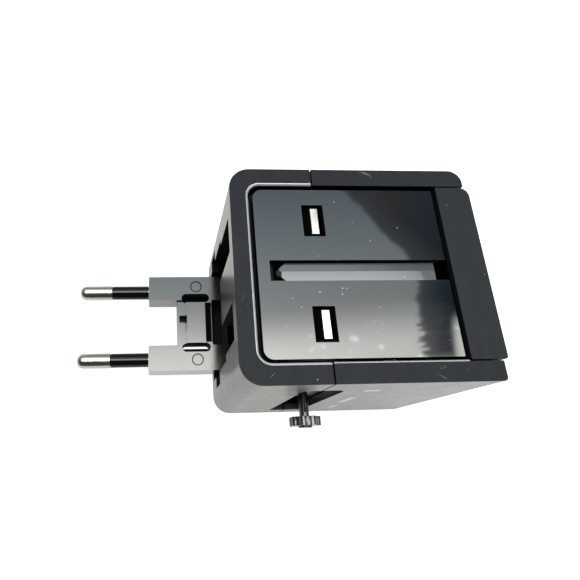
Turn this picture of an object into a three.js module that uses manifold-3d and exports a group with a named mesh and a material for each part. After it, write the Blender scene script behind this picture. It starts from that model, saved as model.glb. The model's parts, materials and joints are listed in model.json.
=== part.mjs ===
// Universal travel adapter: a boxy two-shell case with a British plug face on one end, an
// American/Australian plug face on the other, a folding European plug in one side and a
// universal socket in the opposite side. Millimetres, +Z up. The adapter lies on its American
// face: the origin is the centre of that face, +Z points out of the British face, -X towards
// the European plug and +X out of the socket.

import * as THREE from 'three';
import { mergeVertices } from 'three/addons/utils/BufferGeometryUtils.js';
import Module from 'manifold-3d';

const wasm = await Module();
wasm.setup();

// ---------------------------------------------------------------- driving dimensions

// Case
const halfWidth = 25.7;
const halfHeight = 22.8;
const caseDepth = 52.1;
const caseEdgeRadius = 4.5;
const caseEndRadius = 2.8;
const caseEndLowRadius = 0.8;
const wall = 1.7;
const rimWidth = 3.9;
const rimWidthLow = 4.2;
const rimDepth = 3.6;
const backRimDepth = 2.6;
const seamX = -7.9;
const seamGap = 0.3;
const through = 60;
const joinDepth = 0.2;
const slideGap = 0.3;

// Face panels
const panelLeft = -20.7;
const panelRight = 18.75;
const panelLow = -17.85;
const panelHigh = 18.3;
const panelCorner = 2;
const ukFace = 51.1;
const ukPanelThickness = 2;
const ukPanelBack = ukFace - ukPanelThickness;
const usPanelThickness = 2.2;

// Socket cap
const capLeft = 19.3;
const capRight = 26.7;
const capHalfHeight = 18.6;
const capPlate = 2.2;
const capWall = 1.7;
const capInner = capRight - capPlate;

// British plug: live and neutral 22.2 apart, earth 22.23 from their line
const plugLineX = -8.15;
const ukPinY = 11.1;
const ukPinX = 4;
const ukPinWidth = 6.35;
const ukPinTip = 50.9;
const ukPinBase = 22.3;
const ukSleeveLength = 9.5;
const ukHoleX = 4.6;
const ukHoleY = 7.2;

// Folding earth pin, lying in its slot
const earthHingeX = 12.33;
const earthHingeZ = 44.45;
const earthTipX = -16.6;
const earthEndX = 16.9;
const earthBottom = 42.2;
const earthTop = 50.2;
const earthHalfWidth = 2;
const earthHeelRadius = 6.9;
const earthSlotLeft = -18.2;
const earthSlotHalf = 2.2;

// European plug, folded out to -X
const euHingeX = -22.2;
const euHingeZ = 7.6;
const euHalfThick = 3.3;
const euArmInner = 6.15;
const euArmOuter = 12.85;
const euArmEnd = -43.3;
const euPinY = 9.35;
const euPinTip = -62.1;
const euPinRadius = 2;
const euSleeveRadius = 1.87;
const euCoreRadius = 1.4;
const euSleeveLength = 10;
const euBridgeOuter = -35.75;
const euLedgeInner = -33.25;
const euBridgeInner = -26.3;

// Recess for the folded European plug
const recessFloorX = -18.4;
const trayBackX = -16.8;
const trayHalf = 18.4;
const recessHalf = 14.6;
const grooveInner = 5.4;
const grooveOuter = 13.2;
const grooveEnd = 47.9;
const recessBottom = 3.8;
const tongueEnd = 28;
const recessShoulder = 33;

// Carriage that carries both sets of pins, with its travel each way
const carriageLeft = -13.65;
const carriageRight = -2.65;
const carriageHalf = 20.8;
const carriageBottom = 19.6;
const carriageTop = 28.8;
const bridgeTop = 22.2;
const blockInner = 7.4;
const retainerBottom = 18.5;
const retainerTop = 19.5;

// American blades
const bladeY = 6.35;
const bladeWide = 6.35;
const bladeThick = 1.5;
const bladeTip = 0.1;
const bladeTop = 20.9;
const rotorBossRadius = 3.5;
const rotorFlangeRadius = 4.5;
const rotorStep = 19.7;
const rotorSeatTop = 21;
const stripBottom = 21.5;
const stripThick = 0.5;

// Selector knob, on its stem through the window
const knobX = -7.2;
const knobZ = 24.7;
const knobStemRadius = 1.1;
const knobHeadRadius = 3.6;
const knobHeadInner = -26.2;
const knobHeadOuter = -28.2;
const knobBossOuter = -28.6;
const stemEnd = -17.6;
const knobBoreEnd = -14.8;
const windowLeft = -11.7;
const windowRight = -3.05;
const windowBottom = 6.6;
const windowTop = 43.4;
const windowRadius = 2;
const windowLowRadius = 0.6;

// Socket
const socketLineZ = 11;
const socketEarthZ = socketLineZ + 22.23;
const shutterLeft = 21.9;
const shutterRight = 24.2;
const shutterBottom = 6.2;
const shutterTop = 17.4;
const springSeatZ = 8.2;
const springStopZ = 26.6;

// Divider, rails, fuse and screws
const dividerLeft = 0.6;
const dividerRight = 2.2;
const axleRadius = 1;
const runningGap = 0.05;
const fuseX = 6.6;
const fuseZ = 21.3;
const screwRadius = 1;
const screwHeadRadius = 1.7;
const screwY = 16.3;
const screwXs = [-19.6, 14];
const screwTip = 9;

// ---------------------------------------------------------------- solids

function toSolid(geometry) {
  geometry.deleteAttribute('normal');
  geometry.deleteAttribute('uv');
  const merged = mergeVertices(geometry, 1e-5);
  const mesh = new wasm.Mesh({
    numProp: 3,
    vertProperties: new Float32Array(merged.attributes.position.array),
    triVerts: new Uint32Array(merged.index.array),
  });
  return new wasm.Manifold(mesh);
}

function toGeometry(solid) {
  const mesh = solid.getMesh();
  const geometry = new THREE.BufferGeometry();
  geometry.setAttribute('position', new THREE.BufferAttribute(mesh.vertProperties, 3));
  geometry.setIndex(new THREE.BufferAttribute(mesh.triVerts, 1));
  geometry.computeVertexNormals();
  return geometry;
}

function box(x0, x1, y0, y1, z0, z1) {
  const geometry = new THREE.BoxGeometry(x1 - x0, y1 - y0, z1 - z0);
  geometry.translate((x0 + x1) / 2, (y0 + y1) / 2, (z0 + z1) / 2);
  return toSolid(geometry);
}

// The same box on both sides of the middle plane y = 0.
function twinBox(x0, x1, y0, y1, z0, z1) {
  return box(x0, x1, y0, y1, z0, z1).add(box(x0, x1, -y1, -y0, z0, z1));
}

function rodX(radius, x0, x1, y, z, sides = 20) {
  const geometry = new THREE.CylinderGeometry(radius, radius, x1 - x0, sides);
  geometry.rotateZ(Math.PI / 2);
  geometry.translate((x0 + x1) / 2, y, z);
  return toSolid(geometry);
}

function rodY(radius, y0, y1, x, z, sides = 24) {
  const geometry = new THREE.CylinderGeometry(radius, radius, y1 - y0, sides);
  geometry.translate(x, (y0 + y1) / 2, z);
  return toSolid(geometry);
}

function rodZ(radius, z0, z1, x, y, sides = 20, topRadius = radius) {
  const geometry = new THREE.CylinderGeometry(topRadius, radius, z1 - z0, sides);
  geometry.rotateX(Math.PI / 2);
  geometry.translate(x, y, (z0 + z1) / 2);
  return toSolid(geometry);
}

// Outlines drawn in the plane seen along each axis, pushed along that axis.
function extrudeZ(shape, z0, z1, curveSegments = 8) {
  const options = { depth: z1 - z0, bevelEnabled: false, curveSegments };
  const geometry = new THREE.ExtrudeGeometry(shape, options);
  geometry.translate(0, 0, z0);
  return toSolid(geometry);
}

// A shape in (x, z) pushed along Y.
function extrudeY(shape, y0, y1, curveSegments = 8) {
  const options = { depth: y1 - y0, bevelEnabled: false, curveSegments };
  const geometry = new THREE.ExtrudeGeometry(shape, options);
  geometry.rotateX(Math.PI / 2);
  geometry.translate(0, y1, 0);
  return toSolid(geometry);
}

// A shape in (y, z) pushed along X.
function extrudeX(shape, x0, x1, curveSegments = 8) {
  const options = { depth: x1 - x0, bevelEnabled: false, curveSegments };
  const geometry = new THREE.ExtrudeGeometry(shape, options);
  geometry.rotateX(Math.PI / 2);
  geometry.rotateZ(Math.PI / 2);
  geometry.translate(x0, 0, 0);
  return toSolid(geometry);
}

function polygon(points) {
  return new THREE.Shape(points.map(([a, b]) => new THREE.Vector2(a, b)));
}

// A rectangle whose four corners have their own radii, counted from the lower left.
function roundedRectangle(a0, a1, b0, b1, lowerLeft, lowerRight, upperRight, upperLeft) {
  const shape = new THREE.Shape();
  shape.moveTo(a0 + lowerLeft, b0);
  shape.lineTo(a1 - lowerRight, b0);
  shape.absarc(a1 - lowerRight, b0 + lowerRight, lowerRight, -Math.PI / 2, 0);
  shape.lineTo(a1, b1 - upperRight);
  shape.absarc(a1 - upperRight, b1 - upperRight, upperRight, 0, Math.PI / 2);
  shape.lineTo(a0 + upperLeft, b1);
  shape.absarc(a0 + upperLeft, b1 - upperLeft, upperLeft, Math.PI / 2, Math.PI);
  shape.lineTo(a0, b0 + lowerLeft);
  shape.absarc(a0 + lowerLeft, b0 + lowerLeft, lowerLeft, Math.PI, 1.5 * Math.PI);
  return shape;
}

function evenlyRounded(a0, a1, b0, b1, radius) {
  return roundedRectangle(a0, a1, b0, b1, radius, radius, radius, radius);
}

// ---------------------------------------------------------------- the group

const adapter = new THREE.Group();

const looks = {
  shell: { color: 0x2a2d33, roughness: 0.35, metalness: 0 },
  panel: { color: 0x0d0e12, roughness: 0.12, metalness: 0 },
  cap: { color: 0x34373e, roughness: 0.55, metalness: 0 },
  earthPin: { color: 0x3a3c42, roughness: 0.4, metalness: 0 },
  plug: { color: 0x17181b, roughness: 0.2, metalness: 0 },
  sleeve: { color: 0x0f0f10, roughness: 0.4, metalness: 0 },
  inner: { color: 0x1b1c1f, roughness: 0.6, metalness: 0 },
  nickel: { color: 0xc0bab0, roughness: 0.25, metalness: 1 },
  brass: { color: 0xb08d4a, roughness: 0.35, metalness: 1 },
  steel: { color: 0x8e9094, roughness: 0.35, metalness: 1 },
  ceramic: { color: 0xe6e2d8, roughness: 0.5, metalness: 0 },
};

function addPiece(name, solid, look) {
  const mesh = new THREE.Mesh(toGeometry(solid), new THREE.MeshStandardMaterial(looks[look]));
  mesh.name = name;
  adapter.add(mesh);
}

// ---------------------------------------------------------------- case shells

// The outline is rounded at the European side and squarer at the socket side.
function caseBlock() {
  const outline = roundedRectangle(
    -halfWidth, halfWidth, -halfHeight, halfHeight,
    caseEdgeRadius, caseEndLowRadius, caseEndRadius, caseEdgeRadius,
  );
  return extrudeZ(outline, 0, caseDepth, 7);
}

// The hollow inside the walls, and the openings in both rims and at the socket end.
function caseHollow() {
  const innerRadius = caseEdgeRadius - wall;
  const endRadius = 1;
  const hollow = roundedRectangle(
    -halfWidth + wall, halfWidth - wall, -halfHeight + wall, halfHeight - wall,
    innerRadius, endRadius, endRadius, innerRadius,
  );
  const openingRadius = 2.5;
  const openingEndRadius = 0.1;
  const opening = roundedRectangle(
    -halfWidth + rimWidth, through, -halfHeight + rimWidthLow, halfHeight - rimWidth,
    openingRadius, openingEndRadius, openingEndRadius, openingRadius,
  );
  const socketEnd = box(
    capLeft - slideGap, through, -halfHeight + rimWidth, halfHeight - rimWidth, -1, through,
  );
  return extrudeZ(hollow, backRimDepth, caseDepth - rimDepth, 5)
    .add(extrudeZ(opening, caseDepth - rimDepth - 1, through, 5))
    .add(extrudeZ(opening, -1, backRimDepth + 1, 5))
    .add(socketEnd);
}

// The recess in the European side: two grooves for the folded arms and pins, a tongue
// between them, a wide lower end and a pocket beside each hinge ear.
function plugRecess() {
  const outside = -halfWidth - 1;
  const earPocketHalf = 17.5;
  const earPocketBottom = 10;
  const earPocketTop = 19;
  return box(outside, recessFloorX, -recessHalf, recessHalf, recessBottom, tongueEnd)
    .add(twinBox(outside, recessFloorX, grooveInner, recessHalf, tongueEnd - 1, recessShoulder))
    .add(twinBox(outside, recessFloorX, grooveInner, grooveOuter, recessShoulder - 1, grooveEnd))
    .add(twinBox(outside, recessFloorX, recessHalf - 1, earPocketHalf, earPocketBottom, earPocketTop));
}

// Windows through which the spring leaves reach the folding plug's heel.
function leafWindows() {
  const half = 1.8;
  const bottom = 5;
  const top = 10.2;
  return twinBox(recessFloorX - 1, trayBackX + 1, euPinY - half, euPinY + half, bottom, top);
}

function knobWindow() {
  const outline = roundedRectangle(
    windowLeft, windowRight, windowBottom, windowTop,
    windowLowRadius, windowLowRadius, windowRadius, windowRadius,
  );
  return extrudeY(outline, -halfHeight - 1, -halfHeight + wall + 1, 5);
}

// Holes for the two screws nearest the given side.
function screwHoles(x) {
  const radius = screwRadius + runningGap;
  const top = screwTip + 0.5;
  return rodZ(radius, 0, top, x, screwY).add(rodZ(radius, 0, top, x, -screwY));
}

// Bars across the case that tie the two long walls together, low down and at mid height.
function crossBars() {
  const reach = halfHeight - 1;
  const lowTop = 4.4;
  const bars = [
    [2.8, 4.6, backRimDepth - joinDepth, lowTop],
    [16.8, 18.6, backRimDepth - joinDepth, lowTop],
    [10.4, 12.4, 25.4, 27.6],
  ];
  return bars
    .map(([x0, x1, z0, z1]) => box(x0, x1, -reach, reach, z0, z1))
    .reduce((all, bar) => all.add(bar));
}

// The block behind the plug recess that carries the folding plug and two screws.
function plugTray() {
  return box(
    -halfWidth + 1, trayBackX, -trayHalf, trayHalf,
    backRimDepth - joinDepth, caseDepth - rimDepth + joinDepth,
  );
}

// Ribs on both long walls that the carriage slides along.
function guideRibs() {
  const thickness = 1;
  const inner = 19.6;
  const right = carriageLeft - slideGap;
  return twinBox(right - thickness, right, inner, halfHeight - 1, backRimDepth - 1, caseDepth - 1.5);
}

function screwBosses() {
  const half = 2;
  const inner = 14.6;
  const top = 11;
  const x = screwXs[1];
  return twinBox(x - half, x + half, inner, halfHeight - 1, backRimDepth - joinDepth, top);
}

function buildShells() {
  const block = caseBlock();
  const hollow = caseHollow();
  const leftHalf = box(-through, seamX - seamGap / 2, -through, through, -1, through);
  const rightHalf = box(seamX + seamGap / 2, through, -through, through, -1, through);
  const axleHoleHalf = 17;
  const axleHole = rodY(axleRadius + runningGap, -axleHoleHalf, axleHoleHalf, euHingeX, euHingeZ);
  const earthTipSpace = box(
    earthTipX - 0.5, 0, -earthSlotHalf, earthSlotHalf, earthBottom - 1, through,
  );
  const left = block.intersect(leftHalf).subtract(hollow)
    .add(plugTray())
    .add(guideRibs())
    .subtract(plugRecess())
    .subtract(earthTipSpace)
    .subtract(leafWindows())
    .subtract(axleHole)
    .subtract(screwHoles(screwXs[0]))
    .subtract(knobWindow());
  const right = block.intersect(rightHalf).subtract(hollow)
    .add(screwBosses())
    .add(crossBars())
    .subtract(screwHoles(screwXs[1]))
    .subtract(knobWindow());
  addPiece('left_shell', left, 'shell');
  addPiece('right_shell', right, 'shell');
}

// ---------------------------------------------------------------- face panels

function panelOutline() {
  const endCorner = 0.3;
  return roundedRectangle(
    panelLeft, panelRight, panelLow, panelHigh, panelCorner, endCorner, endCorner, panelCorner,
  );
}

// Each snap hook catches under the front rim.
function snapHooks() {
  const legInner = 17;
  const legOuter = 17.75;
  const barbOuter = 19.7;
  const hookBottom = 46.4;
  const barbTop = caseDepth - rimDepth - 0.4;
  const hooks = [[-16.6, -15.2], [9, 13]];
  return hooks
    .map(([x0, x1]) => twinBox(x0, x1, legInner, legOuter, hookBottom, ukPanelBack + joinDepth)
      .add(twinBox(x0, x1, legInner, barbOuter, hookBottom, barbTop)))
    .reduce((all, hook) => all.add(hook));
}

// Lugs under the panel that hold the earth pin's axle.
function earthLugs() {
  const halfLength = 3;
  const inner = 2.4;
  const outer = 4.7;
  const bottom = 41.6;
  return twinBox(
    earthHingeX - halfLength, earthHingeX + halfLength, inner, outer, bottom, ukPanelBack + joinDepth,
  );
}

function buildUkPanel() {
  const slot = box(earthSlotLeft, panelRight + 1, -earthSlotHalf, earthSlotHalf, ukPanelBack - 1, ukFace + 1);
  const pinHoles = twinBox(
    plugLineX - ukHoleX / 2, plugLineX + ukHoleX / 2,
    ukPinY - ukHoleY / 2, ukPinY + ukHoleY / 2,
    ukPanelBack - 1, ukFace + 1,
  );
  const lugReach = 5;
  const panel = extrudeZ(panelOutline(), ukPanelBack, ukFace, 4)
    .subtract(slot)
    .subtract(pinHoles)
    .add(earthLugs())
    .add(snapHooks())
    .subtract(rodY(axleRadius + runningGap, -lugReach, lugReach, earthHingeX, earthHingeZ));
  addPiece('uk_face_panel', panel, 'panel');
}

// A window large enough for the blade at every angle it can be twisted to.
function bladeWindow(side) {
  const halfX = 3.675;
  const halfY = 2.6;
  const y = side * bladeY;
  return box(plugLineX - halfX, plugLineX + halfX, y - halfY, y + halfY, -1, usPanelThickness + 1);
}

// A through hole for a case screw, wider where the head sits.
function screwSeat(x, y) {
  const shankGap = 0.15;
  const headGap = 0.25;
  const seatDepth = 1.5;
  return rodZ(screwRadius + shankGap, -1, usPanelThickness + 1, x, y)
    .add(rodZ(screwHeadRadius + headGap, -0.1, seatDepth, x, y, 20, screwRadius + shankGap));
}

function buildUsPanel() {
  let panel = extrudeZ(panelOutline(), 0, usPanelThickness, 4);
  for (const side of [-1, 1]) {
    panel = panel.subtract(bladeWindow(side));
    for (const x of screwXs) {
      panel = panel.subtract(screwSeat(x, side * screwY));
    }
  }
  addPiece('us_face_panel', panel, 'panel');
}

// ---------------------------------------------------------------- socket cap, shutter, contacts

// One combined opening takes a flat, a slanted, a round or a square pin.
function socketHole(side) {
  const x0 = capInner - 3;
  const x1 = capRight + 1;
  const slotThick = 1.9;
  const slotHalf = 3.8;
  const slantAngle = 30;
  const slantShift = 0.5;
  const flatSlot = (angle, y) => {
    const geometry = new THREE.BoxGeometry(x1 - x0, slotThick, 2 * slotHalf);
    geometry.rotateX(THREE.MathUtils.degToRad(angle));
    geometry.translate((x0 + x1) / 2, side * y, socketLineZ);
    return toSolid(geometry);
  };
  const squareOuter = ukPinY + ukPinWidth / 2 + 0.3;
  const squareHalf = 2.3;
  const bounds = [side * bladeY, side * squareOuter].sort((a, b) => a - b);
  const square = box(x0, x1, bounds[0], bounds[1], socketLineZ - squareHalf, socketLineZ + squareHalf);
  return flatSlot(0, bladeY)
    .add(flatSlot(side * slantAngle, bladeY + slantShift))
    .add(square);
}

function buildSocketCap() {
  const seamCorner = 0.3;
  const lowCorner = 0.6;
  const highCorner = 2;
  const outline = roundedRectangle(
    capLeft, capRight, -capHalfHeight, capHalfHeight, seamCorner, lowCorner, highCorner, seamCorner,
  );
  const inside = box(
    capLeft - 1, capInner, -capHalfHeight + capWall, capHalfHeight - capWall,
    capWall, caseDepth - capWall,
  );
  const earthHalfY = 2.25;
  const earthHalfZ = 4.2;
  const earthOutline = evenlyRounded(
    -earthHalfY, earthHalfY, socketEarthZ - earthHalfZ, socketEarthZ + earthHalfZ, 0.6,
  );
  const stopHalf = 1.8;
  const stopHeight = 1.4;
  const springStop = box(
    shutterLeft, capInner + 0.5, -stopHalf, stopHalf, springStopZ, springStopZ + stopHeight,
  );
  const cap = extrudeZ(outline, 0, caseDepth, 5)
    .subtract(inside)
    .add(springStop)
    .subtract(socketHole(1))
    .subtract(socketHole(-1))
    .subtract(extrudeX(earthOutline, capInner - 3, capRight + 1, 3));
  addPiece('socket_cap', cap, 'cap');
}

class Helix extends THREE.Curve {
  constructor(radius, turns, toPoint) {
    super();
    this.radius = radius;
    this.turns = turns;
    this.toPoint = toPoint;
  }

  getPoint(t) {
    const angle = 2 * Math.PI * this.turns * t;
    return this.toPoint(this.radius * Math.cos(angle), this.radius * Math.sin(angle), t);
  }
}

function coilSpring(radius, wireRadius, turns, toPoint) {
  const sides = 6;
  const stepsPerTurn = 10;
  const wire = new THREE.Shape();
  wire.absarc(0, 0, wireRadius, 0, 2 * Math.PI);
  const extrudePath = new Helix(radius, turns, toPoint);
  const options = { steps: turns * stepsPerTurn, curveSegments: sides / 2, bevelEnabled: false, extrudePath };
  return toSolid(new THREE.ExtrudeGeometry(wire, options));
}

// The shutter slides up when a pin pushes on its two ramps.
function shutterSolid() {
  const half = 14.4;
  const rampDepth = 1.2;
  const rampInner = 5;
  const rampOuter = 13.9;
  const slotHalf = 1.5;
  const ramp = polygon([
    [shutterRight + 0.01, shutterBottom + 1], [shutterRight + 0.01, shutterTop],
    [shutterRight - rampDepth, shutterBottom + 1],
  ]);
  const springSlot = box(
    shutterLeft - 1, shutterRight + 1, -slotHalf, slotHalf, springSeatZ, shutterTop + 1,
  );
  return box(shutterLeft, shutterRight, -half, half, shutterBottom, shutterTop)
    .subtract(extrudeY(ramp, rampInner, rampOuter))
    .subtract(extrudeY(ramp, -rampOuter, -rampInner))
    .subtract(springSlot);
}

function buildShutter() {
  addPiece('socket_shutter', shutterSolid(), 'inner');
  const coilRadius = 0.85;
  const wireRadius = 0.18;
  const gap = 0.2;
  const turns = 9;
  const low = springSeatZ + gap + wireRadius;
  const high = springStopZ - gap - wireRadius;
  const middleX = (shutterLeft + shutterRight) / 2;
  const spring = coilSpring(coilRadius, wireRadius, turns, (a, b, t) => (
    new THREE.Vector3(middleX + a, b, low + (high - low) * t)
  ));
  addPiece('shutter_spring', spring, 'steel');
}

// A folded brass clip open towards the socket hole, with flared lips.
function buildSocketClips() {
  const back = 7.4;
  const mouth = 21.3;
  const flareStart = mouth - 2;
  const half = 2.35;
  const thick = 0.5;
  const flare = 0.7;
  const inner = back + thick;
  const upper = [
    [inner, half], [flareStart, half], [mouth, half + flare], [mouth, half + thick + flare],
    [flareStart, half + thick], [back, half + thick],
  ];
  const lower = upper.map(([x, rise]) => [x, -rise]).reverse();
  const outline = polygon([...lower, ...upper].map(([x, rise]) => [x, socketLineZ + rise]));
  const clipInner = 6;
  const clipOuter = 14.2;
  addPiece('live_socket_clip', extrudeY(outline, clipInner, clipOuter), 'brass');
  addPiece('neutral_socket_clip', extrudeY(outline, -clipOuter, -clipInner), 'brass');
}

// ---------------------------------------------------------------- divider, rails and fuse

// A plate between the pin shaft and the socket chamber, with flanges that guide the carriage.
function buildDivider() {
  const bottom = usPanelThickness + 0.6;
  const top = ukPanelBack - 0.5;
  const half = 20.6;
  const cutLeft = dividerLeft - 1;
  const cutRight = dividerRight + 1;
  const flanges = twinBox(
    carriageRight + slideGap, dividerLeft + 1, 19.4, 20.9, bottom, caseDepth - rimDepth - slideGap,
  );
  const earthPinNotch = box(cutLeft, cutRight, -2.6, 2.6, 41.4, top + 1);
  const railTabHoles = twinBox(cutLeft, cutRight, 9.6, 12.6, 6.8, 9.6);
  const rimNotches = twinBox(cutLeft, cutRight, 17.1, half + 0.4, 46, top + 1);
  const divider = box(dividerLeft, dividerRight, -half, half, bottom, top)
    .add(flanges)
    .subtract(earthPinNotch)
    .subtract(railTabHoles)
    .subtract(rimNotches);
  addPiece('divider', divider, 'inner');
}

// A bent brass strip: a rail that the carriage's wiper rides on, and a tab to the socket clip.
function buildRails() {
  const left = -0.1;
  const thick = 0.5;
  const halfWide = 1.2;
  const bottom = 4.2;
  const top = 46.4;
  const tabEnd = 7.1;
  const tabZ = 8;
  for (const [name, side] of [['live_rail', 1], ['neutral_rail', -1]]) {
    const y0 = side * ukPinY - halfWide;
    const y1 = side * ukPinY + halfWide;
    const rail = box(left, left + thick, y0, y1, bottom, top)
      .add(box(left, tabEnd, y0, y1, tabZ, tabZ + thick));
    addPiece(name, rail, 'brass');
  }
}

function buildFuse() {
  const capRadius = 3.15;
  const bodyRadius = 2.85;
  const halfLength = 12.7;
  const capLength = 5.5;
  const fuse = rodY(bodyRadius, -halfLength + 1, halfLength - 1, fuseX, fuseZ)
    .add(rodY(capRadius, -halfLength, -halfLength + capLength, fuseX, fuseZ))
    .add(rodY(capRadius, halfLength - capLength, halfLength, fuseX, fuseZ));
  addPiece('fuse', fuse, 'ceramic');
  const inner = capRadius + 0.15;
  const outer = inner + 0.5;
  const clipWidth = 3;
  const mouthX = fuseX + 1.6;
  const stalkHalf = 1.6;
  for (const [name, y0] of [['fuse_clip_1', 8.4], ['fuse_clip_2', -11.4]]) {
    const y1 = y0 + clipWidth;
    const mouth = box(mouthX, mouthX + outer, y0 - 1, y1 + 1, fuseZ - 2 * outer, fuseZ + 2 * outer);
    const stalk = box(
      dividerRight + joinDepth, fuseX - inner - 0.1, y0, y1, fuseZ - stalkHalf, fuseZ + stalkHalf,
    );
    const cradle = rodY(outer, y0, y1, fuseX, fuseZ)
      .subtract(rodY(inner, y0 - 1, y1 + 1, fuseX, fuseZ))
      .subtract(mouth)
      .add(stalk);
    addPiece(name, cradle, 'brass');
  }
}

// ---------------------------------------------------------------- screws

function screwSolid(x, y) {
  const headBottom = 0.15;
  const headTop = 1.3;
  const pointLength = 1;
  const pointRadius = 0.3;
  const crossReach = 1.1;
  const crossHalf = 0.3;
  const crossDepth = 0.75;
  const recess = box(-crossReach, crossReach, -crossHalf, crossHalf, -1, crossDepth)
    .add(box(-crossHalf, crossHalf, -crossReach, crossReach, -1, crossDepth));
  return rodZ(screwHeadRadius, headBottom, headTop, x, y, 20, screwRadius)
    .add(rodZ(screwRadius, headTop - 0.1, screwTip - pointLength, x, y))
    .add(rodZ(screwRadius, screwTip - pointLength, screwTip, x, y, 20, pointRadius))
    .subtract(recess.translate([x, y, 0]));
}

function buildScrews() {
  const places = screwXs.flatMap((x) => [[x, -screwY], [x, screwY]]);
  places.forEach(([x, y], index) => addPiece(`case_screw_${index + 1}`, screwSolid(x, y), 'steel'));
}

// ---------------------------------------------------------------- folding earth pin

// The pin's nose narrows like an arrow and is chamfered above and below.
function earthNoseCuts() {
  const noseLength = 1.8;
  const noseHalf = 0.4;
  const outside = earthHalfWidth + 1;
  const low = earthBottom - 1;
  const high = earthTop + 1;
  const sideCut = polygon([
    [earthTipX - 1, noseHalf], [earthTipX, noseHalf], [earthTipX + noseLength, earthHalfWidth],
    [earthTipX + noseLength, outside], [earthTipX - 1, outside],
  ]);
  const topChamfer = 0.9;
  const topCut = polygon([
    [earthTipX - 1, high], [earthTipX - 1, earthTop - 2 * topChamfer],
    [earthTipX + topChamfer, earthTop], [earthTipX + topChamfer, high],
  ]);
  const bottomChamfer = 1.6;
  const bottomCut = polygon([
    [earthTipX - 1, low], [earthTipX + bottomChamfer, low], [earthTipX + bottomChamfer, earthBottom],
    [earthTipX, earthBottom + bottomChamfer], [earthTipX - 1, earthBottom + bottomChamfer],
  ]);
  const side = extrudeZ(sideCut, low, high);
  return side
    .add(side.mirror([0, 1, 0]))
    .add(extrudeY(topCut, -outside, outside))
    .add(extrudeY(bottomCut, -outside, outside));
}

// The top is in two strips: the knob side stands a little higher and ends in a slanted step.
function buildEarthPin() {
  const stepHeight = 0.3;
  const fall = 0.08;
  const stepY = 0.15;
  const section = polygon([
    [-earthHalfWidth, earthBottom], [earthHalfWidth, earthBottom],
    [earthHalfWidth, earthTop - stepHeight - fall], [stepY, earthTop - stepHeight],
    [stepY, earthTop], [-earthHalfWidth, earthTop - fall],
  ]);
  const reach = earthHalfWidth + 1;
  const heel = extrudeX(section, earthHingeX - 1, earthEndX)
    .intersect(rodY(earthHeelRadius, -reach, reach, earthHingeX, earthHingeZ, 48));
  const stepX = 13.4;
  const stepSlant = 0.9;
  const stepCut = polygon([
    [stepX, stepY + 0.1], [stepX + stepSlant, -reach], [earthEndX + 1, -reach],
    [earthEndX + 1, stepY + 0.1],
  ]);
  const pin = extrudeX(section, earthTipX, earthHingeX)
    .add(heel)
    .subtract(earthNoseCuts())
    .subtract(extrudeZ(stepCut, earthTop - stepHeight - 0.15, earthTop + 1))
    .subtract(rodY(axleRadius + runningGap, -reach, reach, earthHingeX, earthHingeZ));
  addPiece('earth_pin', pin, 'earthPin');
  const axleHalf = 4.5;
  addPiece('earth_pin_axle', rodY(axleRadius, -axleHalf, axleHalf, earthHingeX, earthHingeZ), 'steel');
}

// ---------------------------------------------------------------- folding European plug

function heelSector(radius, y0, y1, halfAngle) {
  const reach = 6;
  const rise = reach * Math.tan(THREE.MathUtils.degToRad(halfAngle));
  const wedge = polygon([
    [euHingeX, euHingeZ], [euHingeX + reach, euHingeZ - rise], [euHingeX + reach, euHingeZ + rise],
  ]);
  return rodY(radius, y0, y1, euHingeX, euHingeZ, 32).intersect(extrudeY(wedge, y0, y1));
}

// Where the carrier is hollowed from above: two oval pockets, a finger scoop, a notch in the
// ledge and two shallow round marks left by the mould.
function carrierPockets(floor, top) {
  const ovalOutline = evenlyRounded(-34.4, -26.9, 5.58, 7.93, 1.17);
  const oval = extrudeZ(ovalOutline, floor, top + 1, 4);
  const notchHalf = 2.1;
  const notch = box(euLedgeInner - 1.8, euLedgeInner + 0.2, -notchHalf, notchHalf, floor + 0.5, top + 1);
  const markRadius = 1.55;
  const markDepth = 0.12;
  const markX = -30.4;
  const markY = 10;
  const mark = rodZ(markRadius, top - markDepth, top + 1, markX, markY, 24);
  return oval
    .add(oval.mirror([0, 1, 0]))
    .add(mark)
    .add(mark.mirror([0, 1, 0]))
    .add(notch);
}

// The pin's bore in the arm, and the curved seat of the contact on the heel.
function carrierBores(side) {
  const y = side * euPinY;
  const boreEnd = -36;
  const bandHalf = 1.7;
  const bandInner = 2.8;
  const bandAngle = 39;
  const wideAngle = 80;
  const seat = heelSector(euHalfThick + 1, y - bandHalf, y + bandHalf, bandAngle)
    .subtract(heelSector(bandInner, y - bandHalf - 1, y + bandHalf + 1, wideAngle));
  return rodX(euCoreRadius + runningGap, euArmEnd - 1, boreEnd, y, euHingeZ, 24).add(seat);
}

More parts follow.
